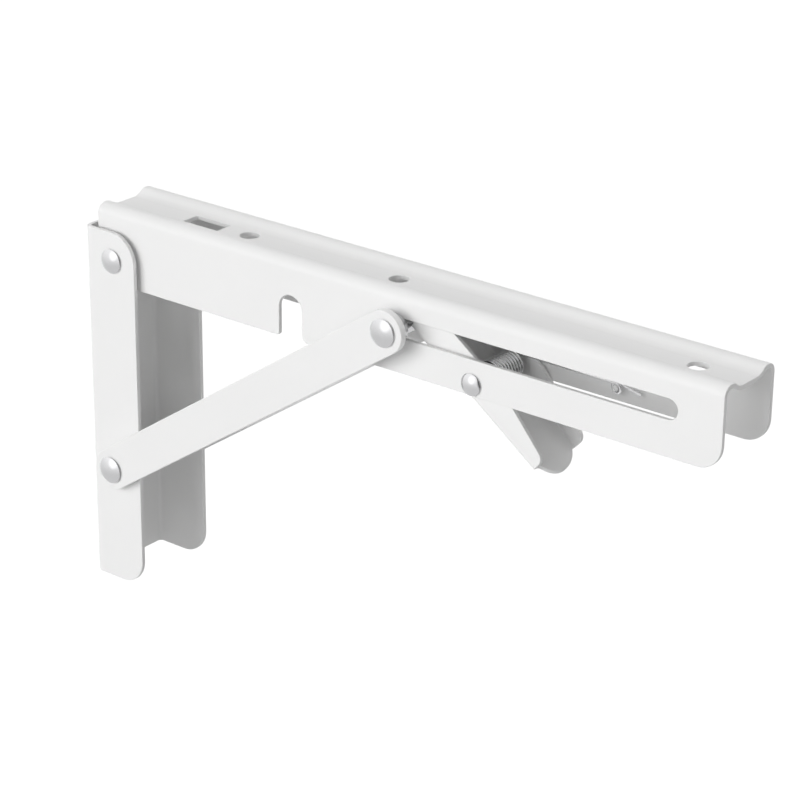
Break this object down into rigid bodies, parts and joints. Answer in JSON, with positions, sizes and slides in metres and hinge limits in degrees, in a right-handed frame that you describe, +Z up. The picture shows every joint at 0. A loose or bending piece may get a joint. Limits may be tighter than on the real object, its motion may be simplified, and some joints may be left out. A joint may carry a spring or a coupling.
{
  "type": "folding shelf bracket",
  "caption": "Folding shelf bracket: wall leg, shelf arm, braces sliding in slots, sprung release lever under the arm.",
  "frame": {"origin": "on the back of the wall leg, at the height of the main pivot, in the middle of its width", "axes": "+X away from the wall along the open arm, +Z up the wall, Y along the pivots"},
  "size_m": [0.3, 0.053, 0.163],
  "materials": {
    "white_coat": "satin powder coat",
    "bright_plating": "bright nickel plating",
    "spring_wire": "bright drawn wire"
  },
  "bodies": {
    "wall": {"wall_channel": "white_coat", "main_rivet": "bright_plating", "main_washer_near": "bright_plating", "main_washer_far": "bright_plating", "brace_rivet": "bright_plating", "brace_sleeve": "bright_plating", "brace_washer_near": "bright_plating", "brace_washer_far": "bright_plating"},
    "arm": {"shelf_channel": "white_coat", "lever_rivet": "bright_plating", "torsion_spring": "spring_wire"},
    "brace": {"brace_near": "white_coat", "brace_far": "white_coat", "slot_rivet_near": "bright_plating", "slot_rivet_far": "bright_plating", "slot_spacer_near": "bright_plating", "slot_spacer_far": "bright_plating"},
    "slider": {"slot_bush_near": "bright_plating", "slot_bush_far": "bright_plating"},
    "lever": {"release_lever": "white_coat"}
  },
  "joints": [
    {"name": "arm_fold", "type": "hinge", "parent": "wall", "child": "arm", "pos_m": [0.0151, 0, 0], "axis": [0, 1, 0], "range_deg": [0, 90]},
    {"name": "brace_swing", "type": "hinge", "parent": "wall", "child": "brace", "pos_m": [0.0151, 0, -0.09], "axis": [0, 1, 0], "range_deg": [0, 121.98]},
    {"name": "pin_slide", "type": "slide", "parent": "arm", "child": "slider", "axis": [1, 0, 0], "range_m": [0, 0.11979]},
    {"name": "lever_press", "type": "hinge", "parent": "arm", "child": "lever", "pos_m": [0.1927, 0, -0.0066], "axis": [0, -1, 0], "range_deg": [0, 34], "stiffness_Nm_per_rad": 0.11, "springref_deg": -45.84, "deforming": ["torsion_spring"]}
  ],
  "couplings": [
    {"joint": "brace_swing", "follows": "arm_fold", "ratio": 1.3548},
    {"joint": "pin_slide", "follows": "arm_fold", "m_per_rad": 0.076239}
  ]
}
